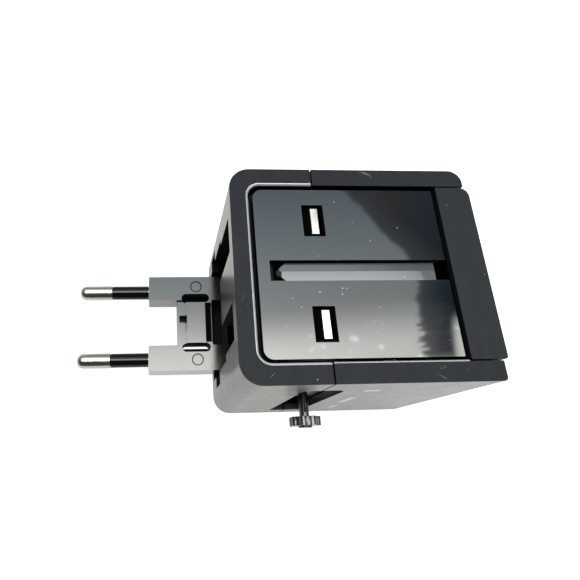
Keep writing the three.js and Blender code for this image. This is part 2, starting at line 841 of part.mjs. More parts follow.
function buildEuCarrier() {
  const bottom = euHingeZ - euHalfThick;
  const top = euHingeZ + euHalfThick;
  const ledgeTop = top - 1;
  const webBottom = bottom + 1.2;
  const webHalf = euArmInner + 1;
  const scoopRadius = 4.2;
  const scoop = rodY(scoopRadius, -5.4, 5.4, euBridgeInner + scoopRadius / 2, top + 1.6, 32);
  const carrier = twinBox(euArmEnd, euHingeX, euArmInner, euArmOuter, bottom, top)
    .add(rodY(euHalfThick, euArmInner, euArmOuter, euHingeX, euHingeZ, 32))
    .add(rodY(euHalfThick, -euArmOuter, -euArmInner, euHingeX, euHingeZ, 32))
    .add(box(euLedgeInner, euBridgeInner, -webHalf, webHalf, webBottom, top).subtract(scoop))
    .add(box(euBridgeOuter, euLedgeInner + 1, -webHalf, webHalf, webBottom, ledgeTop))
    .subtract(carrierPockets(webBottom, top))
    .subtract(carrierBores(1))
    .subtract(carrierBores(-1))
    .subtract(rodY(axleRadius + runningGap, -through, through, euHingeX, euHingeZ));
  addPiece('eu_carrier', carrier, 'plug');
  const axleHalf = 16.6;
  addPiece('eu_hinge_axle', rodY(axleRadius, -axleHalf, axleHalf, euHingeX, euHingeZ), 'steel');
}

function latheAlongX(profile, x, y, z, sides) {
  const geometry = new THREE.LatheGeometry(profile, sides);
  geometry.rotateZ(Math.PI / 2);
  geometry.translate(x, y, z);
  return toSolid(geometry);
}

// A pin has a thin core in the arm and under its sleeve, and a bare rounded end.
function euPinProfile() {
  const pinLength = euArmEnd - euPinTip;
  const buried = 6.6;
  const tipRound = 1.7;
  const arcSteps = 4;
  const points = [
    [0, -buried], [euCoreRadius, -buried], [euCoreRadius, euSleeveLength], [euPinRadius, euSleeveLength],
  ];
  for (let step = 0; step <= arcSteps; step += 1) {
    const angle = (Math.PI / 2) * step / arcSteps;
    const radius = euPinRadius - tipRound + tipRound * Math.cos(angle);
    points.push([radius, pinLength - tipRound + tipRound * Math.sin(angle)]);
  }
  points.push([0, pinLength]);
  return points.map(([radius, along]) => new THREE.Vector2(radius, along));
}

function buildEuPins() {
  const profile = euPinProfile();
  const endGap = 0.1;
  const contactHalf = 1.5;
  const contactInner = 2.9;
  for (const [number, side] of [[1, 1], [2, -1]]) {
    const y = side * euPinY;
    addPiece(`eu_pin_${number}`, latheAlongX(profile, euArmEnd, y, euHingeZ, 24), 'nickel');
    const sleeveEnd = euArmEnd - euSleeveLength + endGap;
    const sleeve = rodX(euSleeveRadius, sleeveEnd, euArmEnd - endGap, y, euHingeZ, 24)
      .subtract(rodX(euCoreRadius + runningGap, sleeveEnd - 1, euArmEnd + 1, y, euHingeZ, 24));
    addPiece(`eu_pin_sleeve_${number}`, sleeve, 'sleeve');
    const contact = heelSector(euHalfThick, y - contactHalf, y + contactHalf, 35)
      .subtract(heelSector(contactInner, y - contactHalf - 1, y + contactHalf + 1, 80));
    addPiece(`eu_heel_contact_${number}`, contact, 'brass');
  }
}

// Spring leaves behind the recess that touch the heel contacts when the plug is out.
function buildEuLeaves() {
  const stripLeft = -16.5;
  const stripRight = -16;
  const kneeLeft = -18.5;
  const bottom = 4;
  const top = 16;
  const outline = polygon([
    [stripLeft, bottom], [stripRight, bottom], [stripRight, top], [stripLeft, top],
    [stripLeft, 9.6], [kneeLeft, 8.1], [kneeLeft, 7.1], [stripLeft, 5.6],
  ]);
  const half = 1.5;
  addPiece('eu_leaf_contact_1', extrudeY(outline, euPinY - half, euPinY + half), 'brass');
  addPiece('eu_leaf_contact_2', extrudeY(outline, -euPinY - half, -euPinY + half), 'brass');
}

// ---------------------------------------------------------------- sliding carriage

function pinBlockHoles() {
  const gap = 0.15;
  return twinBox(
    plugLineX - ukPinX / 2 - gap, plugLineX + ukPinX / 2 + gap,
    ukPinY - ukPinWidth / 2 - gap, ukPinY + ukPinWidth / 2 + gap,
    bridgeTop - 0.1, carriageTop + 1,
  );
}

// Pockets for the brass strips between the rotors and the British pins, open to the rails.
function stripSlots() {
  const rotorSlotHalf = 1.95;
  const plateSlots = twinBox(
    plugLineX - rotorSlotHalf, plugLineX + rotorSlotHalf, 3.6, 14.2, rotorSeatTop - 0.1, bridgeTop,
  );
  const wiperSlots = twinBox(
    plugLineX, carriageRight + 1, 9.3, 12.9, stripBottom - slideGap, bridgeTop + 0.1,
  );
  return plateSlots.add(wiperSlots);
}

function buildCarriage() {
  const rotorGap = 0.25;
  const stemGap = 0.2;
  const rotorSeats = rodZ(
    rotorFlangeRadius + rotorGap, carriageBottom - 1, rotorSeatTop, plugLineX, bladeY, 32,
  );
  const carriage = box(carriageLeft, carriageRight, -carriageHalf, carriageHalf, carriageBottom, bridgeTop)
    .add(twinBox(carriageLeft, carriageRight, blockInner, carriageHalf, bridgeTop - 1, carriageTop))
    .subtract(pinBlockHoles())
    .subtract(stripSlots())
    .subtract(rodY(knobStemRadius + stemGap, -carriageHalf - 1, knobBoreEnd, knobX, knobZ))
    .subtract(rotorSeats)
    .subtract(rotorSeats.mirror([0, 1, 0]));
  addPiece('carriage', carriage, 'inner');
  const retainerHalf = 14;
  const bossHole = rodZ(
    rotorBossRadius + rotorGap, retainerBottom - 1, retainerTop + 1, plugLineX, bladeY, 32,
  );
  const retainer = box(carriageLeft, carriageRight, -retainerHalf, retainerHalf, retainerBottom, retainerTop)
    .subtract(bossHole)
    .subtract(bossHole.mirror([0, 1, 0]));
  addPiece('blade_retainer', retainer, 'inner');
}

// A block as wide and deep as a British pin, drawn in from its sides by the inset.
function ukPinBlock(y, inset, z0, z1) {
  const halfX = ukPinX / 2 - inset;
  const halfY = ukPinWidth / 2 - inset;
  return box(plugLineX - halfX, plugLineX + halfX, y - halfY, y + halfY, z0, z1);
}

// A British pin is waisted where its moulded sleeve sits, and has a narrow flat on its tip.
function ukPinSolid(y) {
  const waistInset = 0.45;
  const sleeveTop = carriageTop + ukSleeveLength;
  const tipHeight = 3;
  const endChamfer = 0.3;
  const flatLeft = -8.6;
  const flatRight = -7;
  const left = plugLineX - ukPinX / 2;
  const right = plugLineX + ukPinX / 2;
  const acrossProfile = polygon([
    [left, sleeveTop], [right, sleeveTop], [right, ukPinTip - tipHeight],
    [flatRight, ukPinTip], [flatLeft, ukPinTip], [left, ukPinTip - tipHeight],
  ]);
  const low = y - ukPinWidth / 2;
  const high = y + ukPinWidth / 2;
  const alongProfile = polygon([
    [low, sleeveTop], [high, sleeveTop], [high, ukPinTip - endChamfer],
    [high - endChamfer, ukPinTip], [low + endChamfer, ukPinTip], [low, ukPinTip - endChamfer],
  ]);
  const tip = extrudeY(acrossProfile, low, high).intersect(extrudeX(alongProfile, left, right));
  return ukPinBlock(y, 0, ukPinBase, carriageTop)
    .add(ukPinBlock(y, waistInset, carriageTop - 1, sleeveTop + 1))
    .add(tip);
}

function ukSleeveSolid(y) {
  const boreInset = 0.35;
  const gap = 0.1;
  const bottom = carriageTop + gap;
  const top = carriageTop + ukSleeveLength - gap;
  return ukPinBlock(y, 0, bottom, top).subtract(ukPinBlock(y, boreInset, bottom - 1, top + 1));
}

// Brass strip from the blade's rotor to the British pin's foot, with a wiper for the rail.
function stripSolid(side) {
  const top = stripBottom + stripThick;
  const plateHalf = 1.7;
  const wiperLeft = -1;
  const wiperRight = wiperLeft + stripThick;
  const wiperTop = 27;
  const studRadius = 0.8;
  const studBottom = 21.05;
  const plate = box(plugLineX - plateHalf, plugLineX + plateHalf, 3.9, 13.9, stripBottom, top)
    .add(box(plugLineX + 1, wiperRight, 9.6, 12.6, stripBottom, top))
    .add(box(wiperLeft, wiperRight, 9.6, 12.6, stripBottom, wiperTop))
    .add(rodZ(studRadius, studBottom, stripBottom + 0.1, plugLineX, bladeY, 12));
  return side > 0 ? plate : plate.mirror([0, 1, 0]);
}

function buildUkPins() {
  for (const [name, side] of [['live', 1], ['neutral', -1]]) {
    addPiece(`uk_${name}_pin`, ukPinSolid(side * ukPinY), 'nickel');
    addPiece(`uk_${name}_pin_sleeve`, ukSleeveSolid(side * ukPinY), 'sleeve');
    addPiece(`${name}_link_strip`, stripSolid(side), 'brass');
  }
}

// An American blade with chamfered corners at its tip.
function bladeSolid(y) {
  const cornerX = 1.2;
  const cornerZ = 1.4;
  const left = plugLineX - bladeWide / 2;
  const right = plugLineX + bladeWide / 2;
  const outline = polygon([
    [left, bladeTip + cornerZ], [left + cornerX, bladeTip], [right - cornerX, bladeTip],
    [right, bladeTip + cornerZ], [right, bladeTop], [left, bladeTop],
  ]);
  return extrudeY(outline, y - bladeThick / 2, y + bladeThick / 2);
}

function rotorSolid(y) {
  const gap = 0.1;
  const slot = box(
    plugLineX - bladeWide / 2 - gap, plugLineX + bladeWide / 2 + gap,
    y - bladeThick / 2 - gap, y + bladeThick / 2 + gap, retainerBottom - 1, bladeTop + 1,
  );
  return rodZ(rotorBossRadius, retainerBottom, rotorStep + 0.5, plugLineX, y, 32)
    .add(rodZ(rotorFlangeRadius, rotorStep, bladeTop, plugLineX, y, 32))
    .subtract(slot);
}

function buildUsBlades() {
  for (const [number, side] of [[1, 1], [2, -1]]) {
    addPiece(`us_blade_${number}`, bladeSolid(side * bladeY), 'nickel');
    addPiece(`blade_rotor_${number}`, rotorSolid(side * bladeY), 'inner');
  }
}

// ---------------------------------------------------------------- selector knob

// A split stem whose end sits in the head.
function knobStemSolid() {
  const seatDepth = 1.4;
  const splitHalf = 0.15;
  const splitReach = 2.4;
  const split = box(
    knobX - splitHalf, knobX + splitHalf, -halfHeight - splitReach, -halfHeight + splitReach,
    knobZ + 0.3, knobZ + knobStemRadius + 1,
  );
  return rodY(knobStemRadius, knobHeadInner - seatDepth, stemEnd, knobX, knobZ).subtract(split);
}

// A flat head with rounded lobes, a boss in the middle and a blind hole for the stem.
function knobHeadSolid() {
  const lobes = 8;
  const lobeRadius = 0.85;
  const coreRadius = knobHeadRadius - 0.45;
  const bossRadius = 1.6;
  const holeDepth = 1.6;
  const reach = knobHeadRadius - lobeRadius;
  let head = rodY(coreRadius, knobHeadOuter, knobHeadInner, knobX, knobZ, 32)
    .add(rodY(bossRadius, knobBossOuter, knobHeadOuter + 0.1, knobX, knobZ, 20));
  for (let lobe = 0; lobe < lobes; lobe += 1) {
    const angle = 2 * Math.PI * (lobe + 0.5) / lobes;
    const x = knobX + reach * Math.cos(angle);
    const z = knobZ + reach * Math.sin(angle);
    head = head.add(rodY(lobeRadius, knobHeadOuter, knobHeadInner, x, z, 12));
  }
  return head.subtract(
    rodY(knobStemRadius + 0.1, knobHeadInner - holeDepth, knobHeadInner + 1, knobX, knobZ),
  );
}

function buildKnob() {
  addPiece('knob_stem', knobStemSolid(), 'plug');
  addPiece('knob_head', knobHeadSolid(), 'plug');
  const coilRadius = 0.95;
  const wireRadius = 0.15;
  const turns = 3;
  const endGap = 0.15 + wireRadius;
  const low = stemEnd + endGap;
  const high = knobBoreEnd - endGap;
  const spring = coilSpring(coilRadius, wireRadius, turns, (a, b, t) => (
    new THREE.Vector3(knobX + a, low + (high - low) * t, knobZ + b)
  ));
  addPiece('knob_spring', spring, 'steel');
}

buildShells();
buildUkPanel();
buildUsPanel();
buildSocketCap();
buildShutter();
buildSocketClips();
buildDivider();
buildRails();
buildFuse();
buildScrews();
buildEarthPin();
buildEuCarrier();
buildEuPins();
buildEuLeaves();
buildCarriage();
buildUkPins();
buildUsBlades();
buildKnob();

export default adapter;
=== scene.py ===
"""The looks of the universal travel adapter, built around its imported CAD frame.

Metres, +Z up. The adapter lies on its American face, with the British face on top, the European
plug folded out to -X, the socket at +X and the selector knob at -Y.
"""

import json
import math

import bmesh
import bpy
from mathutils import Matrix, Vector


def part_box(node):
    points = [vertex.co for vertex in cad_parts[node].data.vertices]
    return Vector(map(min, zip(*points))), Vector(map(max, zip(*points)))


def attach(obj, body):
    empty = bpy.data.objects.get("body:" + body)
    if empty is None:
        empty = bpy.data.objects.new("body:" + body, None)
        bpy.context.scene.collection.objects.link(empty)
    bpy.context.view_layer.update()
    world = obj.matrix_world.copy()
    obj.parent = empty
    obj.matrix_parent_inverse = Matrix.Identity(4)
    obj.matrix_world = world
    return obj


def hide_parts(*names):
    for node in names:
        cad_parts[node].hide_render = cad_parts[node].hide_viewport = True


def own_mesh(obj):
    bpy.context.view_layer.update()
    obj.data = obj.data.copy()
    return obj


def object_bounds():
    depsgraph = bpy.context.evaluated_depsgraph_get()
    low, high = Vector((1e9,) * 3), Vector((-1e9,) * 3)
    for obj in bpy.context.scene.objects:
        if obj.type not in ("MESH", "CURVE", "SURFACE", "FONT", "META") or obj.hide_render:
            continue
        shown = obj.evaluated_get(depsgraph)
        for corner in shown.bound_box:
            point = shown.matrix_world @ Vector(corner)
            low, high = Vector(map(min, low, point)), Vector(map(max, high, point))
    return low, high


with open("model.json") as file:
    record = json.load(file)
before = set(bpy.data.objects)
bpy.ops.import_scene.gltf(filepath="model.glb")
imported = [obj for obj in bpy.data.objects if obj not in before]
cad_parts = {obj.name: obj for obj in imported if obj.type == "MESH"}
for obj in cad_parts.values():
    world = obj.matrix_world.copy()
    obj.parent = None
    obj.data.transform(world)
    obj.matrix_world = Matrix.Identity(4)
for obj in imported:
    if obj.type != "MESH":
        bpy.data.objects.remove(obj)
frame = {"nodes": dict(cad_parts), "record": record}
cad_low, cad_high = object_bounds()

MM = 0.001

# The round moulding marks and the oval pockets in the arms of the European plug's carrier.
MARK_X = -30.4 * MM
MARK_Y = 10.0 * MM
MARK_RADIUS = 1.55 * MM
MARK_LINE = 0.25 * MM
POCKET_X = -30.65 * MM
POCKET_Y = 6.755 * MM
POCKET_HALF = 1.35 * MM
POCKET_REACH = 4 * MM

# The case: its European face, and the half sizes of the opening in its rim. What lies this deep in
# the opening, or deeper than WALL_DEPTH under every outer face, counts as the case's inside and
# is painted dark as shade.
CASE_LEFT = -25.7 * MM
OPENING_X = 22.6 * MM
OPENING_Y = 19.6 * MM
OPENING_DEPTH = 8 * MM
WALL_DEPTH = 1.5 * MM

# Printed dashes beside the knob's window: left, right, bottom, top and the pitch of a row, in mm.
DASH_ROWS = (
    (1.2, 4.6, 40.8, 43.0, 0.9),
    (2.0, 3.6, 22.0, 31.0, 1.3),
    (3.0, 4.2, 9.5, 14.5, 1.2),
)
# The inked share of a pitch, the softness of the ink's edges, and where on Y the knob side begins.
DASH_SHARE = 0.55
PRINT_EDGE = 0.05 * MM
KNOB_SIDE = -20 * MM

# Angles in degrees: faces flatter than the first are joined, edges past the second are rounded,
# and edges past the third stay sharp in the shading.
FLAT_ANGLE = 0.7
EDGE_ANGLE = 32
SMOOTH_ANGLE = 40
WELD_DISTANCE = 3e-6

# ---------------------------------------------------------------- camera and studio

CAMERA_PLACE = Vector((-40.12, -36.18, 150.32)) * MM
CAMERA_TURN = [math.radians(angle) for angle in (21.913, -4.116, -1.758)]
CAMERA_LENS = 33.102
CAMERA_SHIFT = (0.1514, -0.0622)


def make_camera():
    data = bpy.data.cameras.new("camera")
    data.sensor_width = 36
    data.lens = CAMERA_LENS
    data.shift_x, data.shift_y = CAMERA_SHIFT
    data.clip_start = 0.01
    data.clip_end = 50
    camera = bpy.data.objects.new("camera", data)
    camera.location = CAMERA_PLACE
    camera.rotation_euler = CAMERA_TURN
    bpy.context.scene.collection.objects.link(camera)
    bpy.context.scene.camera = camera


def add_node(tree, kind, inputs=None, **settings):
    """A new node; an input given as a socket is linked, and any other value is set."""
    made = tree.nodes.new(kind)
    for key, value in settings.items():
        setattr(made, key, value)
    for key, value in (inputs or {}).items():
        if isinstance(value, bpy.types.NodeSocket):
            tree.links.new(value, made.inputs[key])
        else:
            made.inputs[key].default_value = value
    return made


def math_node(tree, operation, *values, clamp=False):
    numbered = dict(enumerate(values))
    return add_node(tree, "ShaderNodeMath", numbered, operation=operation, use_clamp=clamp).outputs[0]


def map_range(tree, value, from_low, from_high, to_low, to_high, smooth=False):
    kind = "SMOOTHSTEP" if smooth else "LINEAR"
    inputs = {0: value, 1: from_low, 2: from_high, 3: to_low, 4: to_high}
    return add_node(tree, "ShaderNodeMapRange", inputs, interpolation_type=kind).outputs[0]


def overhead_light(tree, direction, x, y):
    """The light's strength: most over the near half, with small brighter spots, less to the back."""
    base_strength = 1.75
    slope_strength = 3.6
    near_strength = 10.5
    spot_strength = 7.0
    right_share = 0.72
    slope = map_range(tree, y, 0.27, 0.48, slope_strength, 0.0)
    near = map_range(tree, y, 0.175, 0.275, near_strength, 0.0, smooth=True)
    light = math_node(tree, "ADD", math_node(tree, "ADD", slope, near), base_strength)
    light = math_node(tree, "MULTIPLY", light, map_range(tree, x, 0.18, 0.44, 1.0, right_share))
    spots = map_range(tree, noise(tree, direction, 55, 1), 0.66, 0.72, 0.0, spot_strength)
    spots = math_node(tree, "MULTIPLY", spots, map_range(tree, y, 0.205, 0.235, 1.0, 0.0))
    return math_node(tree, "ADD", light, spots)


def dark_wall(tree, direction, x, y):
    """How much the wall on the right hides the light, with a slanted and partly streaky edge.

    At its near end the light shows again past the wall's right side and under it.
    """
    edge_slant = -0.836
    edge_start = 0.705
    edge_limit = 0.446
    crisp_share = 0.82
    faint_share = 0.18
    below_share = 0.7
    wobble = math_node(tree, "MULTIPLY_ADD", noise(tree, direction, 9, 3), 0.04, -0.02)
    streaks = noise(tree, stretched(tree, direction, (1.0, 6.0, 1.0)), 34, 4)
    streaks = math_node(tree, "SUBTRACT", streaks, 0.5)
    ragged = math_node(tree, "MULTIPLY", streaks, map_range(tree, y, 0.24, 0.30, 0.05, 0.008))
    wobble = math_node(tree, "ADD", wobble, ragged)
    slanted = math_node(tree, "MULTIPLY_ADD", y, edge_slant, edge_start)
    wall_edge = math_node(tree, "MINIMUM", slanted, edge_limit)
    past_edge = math_node(tree, "ADD", math_node(tree, "SUBTRACT", x, wall_edge), wobble)
    crisp = map_range(tree, past_edge, -0.002, 0.006, 0.0, crisp_share, smooth=True)
    faint = map_range(tree, past_edge, 0.0, 0.05, 0.0, faint_share)
    wall = math_node(tree, "ADD", crisp, faint)
    beyond = map_range(tree, x, 0.486, 0.498, 0.0, 1.0, smooth=True)
    near_end = map_range(tree, y, 0.205, 0.235, 1.0, 0.0, smooth=True)
    beyond = math_node(tree, "MULTIPLY", beyond, near_end)
    below = map_range(tree, y, 0.140, 0.170, below_share, 0.0, smooth=True)
    open_part = math_node(tree, "MAXIMUM", beyond, below)
    return math_node(tree, "MULTIPLY", wall, math_node(tree, "SUBTRACT", 1.0, open_part))


def make_world():
    """A white studio: a soft light overhead that fades to the back, with a dark wall on the right.

    x, y and z are the direction looked in. The polished faces mirror this as a grey gradient.
    """
    world = bpy.data.worlds.new("studio")
    world.use_nodes = True
    tree = world.node_tree
    tree.nodes.clear()
    direction = add_node(tree, "ShaderNodeTexCoord").outputs["Generated"]
    x, y, z = add_node(tree, "ShaderNodeSeparateXYZ", {0: direction}).outputs
    wall = dark_wall(tree, direction, x, y)
    seen = math_node(tree, "SUBTRACT", 1.0, wall)
    lit = math_node(tree, "MULTIPLY", overhead_light(tree, direction, x, y), seen)
    # The overhead light ends on every side.
    for edge in (
        map_range(tree, x, -0.45, -0.25, 0.0, 1.0, smooth=True),
        map_range(tree, x, 0.60, 0.75, 1.0, 0.0, smooth=True),
        map_range(tree, y, -0.20, 0.00, 0.0, 1.0, smooth=True),
        map_range(tree, y, 0.62, 0.78, 1.0, 0.0, smooth=True),
        math_node(tree, "GREATER_THAN", z, 0.0),
    ):
        lit = math_node(tree, "MULTIPLY", lit, edge)
    # The room: dark in front, grey at the back, and blue only on the right.
    grey = map_range(tree, y, -0.25, 0.65, 0.10, 0.60)
    blue = map_range(tree, x, 0.40, 0.50, 0.0, 1.0, smooth=True)
    room_tint = colour_between(tree, blue, (0.98, 1.0, 1.0), (0.42, 0.72, 1.0))
    room = add_node(tree, "ShaderNodeBackground", {0: room_tint, 1: grey})
    # The light is warm at the near end and cool at the back.
    coolness = map_range(tree, y, 0.17, 0.45, 0.0, 1.0)
    tint = colour_between(tree, coolness, (1.01, 1.0, 0.935), (0.76, 0.95, 1.08))
    lamp = add_node(tree, "ShaderNodeBackground", {0: tint, 1: lit})
    both = add_node(tree, "ShaderNodeAddShader", {0: room.outputs[0], 1: lamp.outputs[0]})
    add_node(tree, "ShaderNodeOutputWorld", {0: both.outputs[0]})
    bpy.context.scene.world = world
    bpy.context.scene.view_settings.view_transform = "Standard"


def make_floor():
    """A white light table that the adapter lies on."""
    mesh = bpy.data.meshes.new("floor")
    reach = 20
    drop = 0.02 * MM
    corners = [(-reach, -reach, 0), (reach, -reach, 0), (reach, reach, 0), (-reach, reach, 0)]
    mesh.from_pydata(corners, [], [(0, 1, 2, 3)])
    floor = bpy.data.objects.new("floor", mesh)
    floor.location.z = cad_low.z - drop
    bpy.context.scene.collection.objects.link(floor)
    material, tree, shader = new_material("floor_white")
    mottle = noise(tree, object_coords(tree), 40, 3)
    shade = colour_between(tree, mottle, (0.30, 0.295, 0.29), (0.33, 0.325, 0.32))
    tree.links.new(shade, shader.inputs["Base Color"])
    shader.inputs["Roughness"].default_value = 0.8
    shader.inputs["Specular IOR Level"].default_value = 0.0
    shader.inputs["Emission Color"].default_value = (1.0, 0.985, 0.965, 1)
    shader.inputs["Emission Strength"].default_value = 0.98
    mesh.materials.append(material)


# ---------------------------------------------------------------- material pieces

def new_material(name):
    material = bpy.data.materials.new(name)
    material.use_nodes = True
    shader = material.node_tree.nodes["Principled BSDF"]
    return material, material.node_tree, shader


def object_coords(tree):
    return add_node(tree, "ShaderNodeTexCoord").outputs["Object"]


def noise(tree, coords, scale, detail=2.0, distortion=0.0):
    inputs = {"Vector": coords, "Scale": scale, "Detail": detail, "Distortion": distortion}
    return add_node(tree, "ShaderNodeTexNoise", inputs).outputs["Fac"]


def colour_between(tree, factor, low, high):
    inputs = {0: factor, 6: (*low, 1), 7: (*high, 1)}
    return add_node(tree, "ShaderNodeMix", inputs, data_type="RGBA").outputs[2]


def colour_over(tree, factor, under, over):
    inputs = {0: factor, 6: under, 7: (*over, 1)}
    return add_node(tree, "ShaderNodeMix", inputs, data_type="RGBA").outputs[2]


def stretched(tree, coords, scale):
    return add_node(tree, "ShaderNodeMapping", {"Vector": coords, "Scale": scale}).outputs[0]


def specks(tree, coords, cells_per_metre, radius, share):
    """A mask of small round specks, one in some of the cells of a random grid."""
    inputs = {"Vector": coords, "Scale": cells_per_metre}
    cells = add_node(tree, "ShaderNodeTexVoronoi", inputs)
    near = map_range(tree, cells.outputs["Distance"], radius * 0.5, radius, 1.0, 0.0)
    lot = add_node(tree, "ShaderNodeSeparateColor", {0: cells.outputs["Color"]}).outputs[0]
    chosen = math_node(tree, "LESS_THAN", lot, share)
    return math_node(tree, "MULTIPLY", near, chosen)


def bumped(tree, heights, distance, under=None):
    inputs = {"Height": heights, "Distance": distance, "Strength": 1.0}
    if under is not None:
        inputs["Normal"] = under
    return add_node(tree, "ShaderNodeBump", inputs).outputs[0]


def scratch_mask(tree, coords):
    """Short fine scratches in two directions, kept to a few patches."""
    marks = None
    for angle, scale in ((0.5, 240), (-0.9, 340)):
        turn = {"Vector": coords, "Rotation": (0, 0, angle)}
        turned = add_node(tree, "ShaderNodeMapping", turn).outputs[0]
        lines = noise(tree, stretched(tree, turned, (1.0, 12.0, 1.0)), scale, 1)
        thin = map_range(tree, lines, 0.712, 0.73, 0.0, 1.0)
        marks = thin if marks is None else math_node(tree, "MAXIMUM", marks, thin)
    patches = map_range(tree, noise(tree, coords, 130, 1), 0.60, 0.66, 0.0, 1.0)
    return math_node(tree, "MULTIPLY", marks, patches)


def mottled_colour(tree, coords, colour, wear):
    """The colour, slightly uneven, and paler in patches along the rounded edges: rubbed plastic, and
    where the share is large, as on the panel, a painted highlight.
    """
    mottle = noise(tree, coords, 260, 4)
    darker = [channel * 0.92 for channel in colour]
    lighter = [channel * 1.08 for channel in colour]
    base = colour_between(tree, mottle, darker, lighter)
    edge = add_node(tree, "ShaderNodeAttribute", attribute_name="edge").outputs["Fac"]
    patchy = map_range(tree, noise(tree, coords, 900, 3), 0.35, 0.7, 0.2, 1.0)
    worn_and_highlit = math_node(tree, "MULTIPLY", edge, patchy)
    worn_and_highlit = math_node(tree, "MULTIPLY", worn_and_highlit, min(wear, 1.0), clamp=True)
    pale = [min(1.0, channel * 2.2 + 0.02 * wear) for channel in colour]
    return colour_over(tree, worn_and_highlit, base, pale)


def dust_mask(tree, coords, dust, scratches):
    """Fine dust, fluff, and scratches where the material has them."""
    fine = specks(tree, coords, 620, 0.10, dust * 0.5)
    fluff = specks(tree, coords, 230, 0.050, dust * 0.5)
    dusty = math_node(tree, "MAXIMUM", fine, fluff)
    if scratches:
        marks = math_node(tree, "MULTIPLY", scratch_mask(tree, coords), scratches)
        dusty = math_node(tree, "MAXIMUM", dusty, marks)
    return dusty


def surface_normal(tree, coords, grain, wave, tilt):
    """The bumps of a surface: a slight tilt past a place on X, slow ripples and a fine grain."""
    normal = None
    if tilt:
        start, slope = tilt
        along = add_node(tree, "ShaderNodeSeparateXYZ", {0: coords}).outputs[0]
        past = math_node(tree, "MAXIMUM", math_node(tree, "SUBTRACT", along, start), 0.0)
        normal = bumped(tree, math_node(tree, "MULTIPLY", past, slope), 1.0)
    if wave:
        normal = bumped(tree, noise(tree, coords, 70, 2), wave, under=normal)
    if grain:
        cells_per_metre, depth = grain
        normal = bumped(tree, noise(tree, coords, cells_per_metre, 3), depth, under=normal)
    return normal


def plastic_parts(
    name, colour, roughness, specular=0.5, grain=None, wave=0.0, dust=0.0, wear=0.3, scratches=0.0,
    tilt=None,
):
    """Moulded plastic: mottled colour, uneven gloss, fine grain, dust specks and paler edges.

    grain is (cells per metre, depth in metres), wave is the depth of slow ripples in metres, and
    tilt is (place on X, slope).
    """
    material, tree, shader = new_material(name)
    coords = object_coords(tree)
    base = mottled_colour(tree, coords, colour, wear)
    smear = noise(tree, stretched(tree, coords, (1.0, 0.35, 1.0)), 420, 5, 0.6)
    rough = map_range(tree, smear, 0.3, 0.75, roughness * 0.92, roughness * 1.1)
    if dust:
        dusty = dust_mask(tree, coords, dust, scratches)
        base = colour_over(tree, dusty, base, (0.22, 0.22, 0.21))
        rough = math_node(tree, "MAXIMUM", rough, math_node(tree, "MULTIPLY", dusty, 0.7))
    tree.links.new(base, shader.inputs["Base Color"])
    tree.links.new(rough, shader.inputs["Roughness"])
    normal = surface_normal(tree, coords, grain, wave, tilt)
    if normal is not None:
        tree.links.new(normal, shader.inputs["Normal"])
    shader.inputs["Specular IOR Level"].default_value = specular
    return material, tree, shader


def plastic(*measures, **options):
    return plastic_parts(*measures, **options)[0]


def metal(name, colour, roughness, drawn, tarnish=(0.25, 0.2, 0.15)):
    """Plated or bare metal with fine drawn lines and a little tarnish.

    drawn is how much the lines' noise is squeezed on X, Y and Z, so they run along the small ones.
    """
    material, tree, shader = new_material(name)
    coords = object_coords(tree)
    lines = noise(tree, stretched(tree, coords, drawn), 5200, 2)
    stain = map_range(tree, noise(tree, coords, 330, 4), 0.52, 0.78, 0.0, 0.5)
    base = colour_between(tree, lines, [channel * 0.9 for channel in colour], colour)
    base = colour_over(tree, stain, base, tarnish)
    rough = map_range(tree, lines, 0.3, 0.7, roughness * 0.75, roughness * 1.35)
    tree.links.new(base, shader.inputs["Base Color"])
    tree.links.new(rough, shader.inputs["Roughness"])
    tree.links.new(bumped(tree, lines, 0.004 * MM), shader.inputs["Normal"])
    shader.inputs["Metallic"].default_value = 1.0
    return material


def band(tree, value, low, high, soft):
    """1 where value lies between low and high, 0 outside, with soft ends."""
    rise = map_range(tree, value, low - soft, low, 0.0, 1.0)
    fall = map_range(tree, value, high, high + soft, 1.0, 0.0)
    return math_node(tree, "MULTIPLY", rise, fall)


def base_under(shader):
    return shader.inputs["Base Color"].links[0].from_socket


def side_material():
    """Satin case sides, with rows of plain dashes printed on the knob side."""
    material, tree, shader = plastic_parts(
        "side_satin", (0.010, 0.0092, 0.0084), 0.30, 0.19, dust=0.06, wear=0.5
    )
    x, y, z = add_node(tree, "ShaderNodeSeparateXYZ", {0: object_coords(tree)}).outputs
    printed = None
    for left, right, bottom, top, pitch in DASH_ROWS:
        across = band(tree, x, left * MM, right * MM, PRINT_EDGE)
        upright = band(tree, z, bottom * MM, top * MM, PRINT_EDGE)
        box = math_node(tree, "MULTIPLY", across, upright)
        place = math_node(tree, "FRACT", math_node(tree, "DIVIDE", z, pitch * MM))
        row = math_node(tree, "MULTIPLY", box, math_node(tree, "LESS_THAN", place, DASH_SHARE))
        printed = row if printed is None else math_node(tree, "MAXIMUM", printed, row)
    knob_side = math_node(tree, "LESS_THAN", y, KNOB_SIDE)
    printed = math_node(tree, "MULTIPLY", printed, knob_side)
    marked = colour_over(tree, printed, base_under(shader), (0.55, 0.58, 0.56))
    tree.links.new(marked, shader.inputs["Base Color"])
    return material


